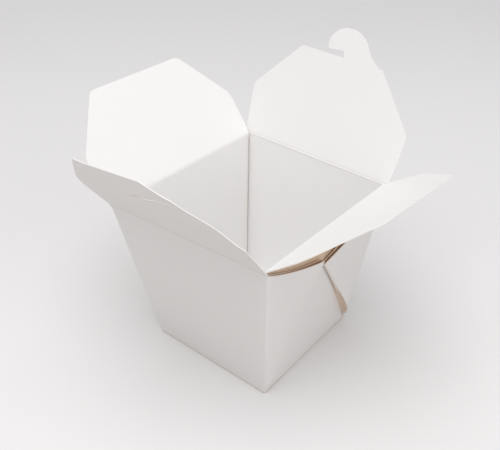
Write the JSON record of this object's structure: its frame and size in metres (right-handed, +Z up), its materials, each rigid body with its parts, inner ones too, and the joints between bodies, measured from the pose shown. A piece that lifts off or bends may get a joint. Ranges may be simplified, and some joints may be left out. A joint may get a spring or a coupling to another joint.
{
  "type": "takeout food box",
  "caption": "Folded white board takeout box, tapered tub with doubled corner webs and open lid flaps, one with a hook and one with a slit.",
  "frame": {"origin": "middle of the tub's underside, on the surface it stands on", "axes": "+Z up; -Y is the wall whose flap has the slit, +Y the wall whose flap has the hook, +X and -X the walls that carry the folded webs"},
  "size_m": [0.1709, 0.1602, 0.1505],
  "materials": {
    "board": "satin"
  },
  "bodies": {
    "tub": {"carton": "board"},
    "slit_lid": {"slit_flap": "board"},
    "hook_lid": {"hook_flap": "board"},
    "left_lid": {"left_flap": "board"},
    "right_lid": {"right_flap": "board"}
  },
  "joints": [
    {"name": "slit_crease", "type": "hinge", "parent": "tub", "child": "slit_lid", "pos_m": [0, -0.05077, 0.085], "axis": [1, 0, 0], "range_deg": [-108, 80]},
    {"name": "hook_crease", "type": "hinge", "parent": "tub", "child": "hook_lid", "pos_m": [0, 0.05077, 0.085], "axis": [-1, 0, 0], "range_deg": [-90, 93]},
    {"name": "left_crease", "type": "hinge", "parent": "tub", "child": "left_lid", "pos_m": [-0.04552, 0, 0.085], "axis": [0, -1, 0], "range_deg": [-134, 75.5]},
    {"name": "right_crease", "type": "hinge", "parent": "tub", "child": "right_lid", "pos_m": [0.04552, 0, 0.085], "axis": [0, 1, 0], "range_deg": [-145.5, 61]}
  ]
}
